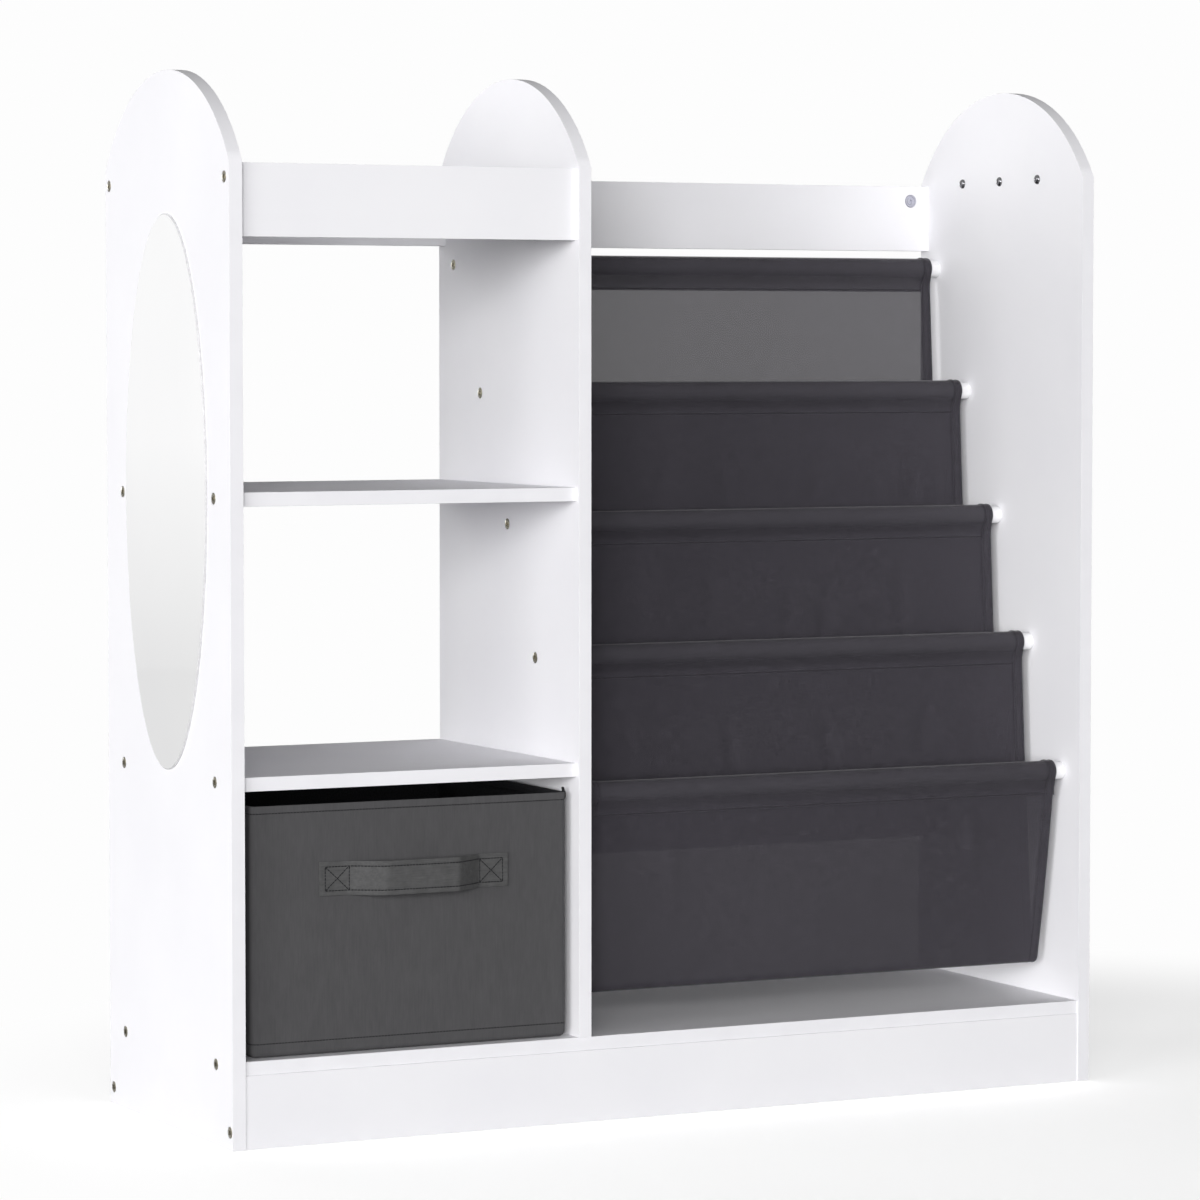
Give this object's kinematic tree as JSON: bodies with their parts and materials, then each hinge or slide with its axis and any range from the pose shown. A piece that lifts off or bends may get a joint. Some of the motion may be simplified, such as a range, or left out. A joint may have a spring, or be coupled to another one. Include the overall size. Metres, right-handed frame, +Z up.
{
  "type": "sling bookshelf",
  "caption": "Child's white storage unit with arched side panels, open shelves, a pull-out fabric bin and a dark fabric sling with tiered book pockets.",
  "frame": {"origin": "centre of the base of the whole unit's box, on the floor", "axes": "+Z up, +X to the right along the width as seen from the front, +Y to the back along the depth"},
  "size_m": [0.887, 0.2974, 0.918],
  "materials": {
    "white_board": "white laminated board, satin",
    "white_paint": "white paint, satin",
    "mirror": "polished",
    "sling_cloth": "plain woven, matt",
    "bin_cloth": "non-woven felt, matt",
    "bin_card": "cloth-covered card, matt",
    "screw_steel": "plated steel, satin",
    "cam_zinc": "die-cast zinc, satin"
  },
  "bodies": {
    "case": {"left_side_panel": "white_board", "divider_panel": "white_board", "right_side_panel": "white_board", "bottom_board": "white_board", "lower_shelf": "white_board", "middle_shelf": "white_board", "front_plinth": "white_board", "back_plinth": "white_board", "left_front_rail": "white_board", "left_back_rail": "white_board", "right_back_rail": "white_board", "oval_mirror": "mirror", "dowel_1": "white_paint", "dowel_2": "white_paint", "dowel_3": "white_paint", "dowel_4": "white_paint", "dowel_5": "white_paint", "sling_sleeve_1": "sling_cloth", "sling_sleeve_2": "sling_cloth", "sling_sleeve_3": "sling_cloth", "sling_sleeve_4": "sling_cloth", "sling_sleeve_5": "sling_cloth", "sling_pocket_1": "sling_cloth", "sling_pocket_2": "sling_cloth", "sling_pocket_3": "sling_cloth", "sling_pocket_4": "sling_cloth", "left_front_rail_screw": "screw_steel", "left_back_rail_screw": "screw_steel", "front_plinth_screw": "screw_steel", "back_plinth_screw": "screw_steel", "middle_shelf_front_screw": "screw_steel", "middle_shelf_back_screw": "screw_steel", "lower_shelf_front_screw": "screw_steel", "lower_shelf_back_screw": "screw_steel", "bottom_board_front_screw": "screw_steel", "bottom_board_back_screw": "screw_steel", "dowel_1_left_screw": "screw_steel", "dowel_2_left_screw": "screw_steel", "dowel_3_left_screw": "screw_steel", "dowel_4_left_screw": "screw_steel", "dowel_5_left_screw": "screw_steel", "dowel_1_right_screw": "screw_steel", "dowel_2_right_screw": "screw_steel", "dowel_3_right_screw": "screw_steel", "dowel_4_right_screw": "screw_steel", "dowel_5_right_screw": "screw_steel", "cam_lock_left": "cam_zinc", "cam_lock_right": "cam_zinc", "cam_bolt_left": "screw_steel", "cam_bolt_right": "screw_steel", "coat_peg_1": "white_paint", "coat_peg_2": "white_paint", "coat_peg_3": "white_paint", "coat_peg_1_screw": "screw_steel", "coat_peg_2_screw": "screw_steel", "coat_peg_3_screw": "screw_steel"},
    "bin": {"bin_shell": "bin_cloth", "bin_base_insert": "bin_card", "bin_handle": "bin_cloth"}
  },
  "joints": [
    {"name": "bin_slide", "type": "slide", "parent": "case", "child": "bin", "axis": [0, -1, 0], "range_m": [0, 0.285]}
  ]
}
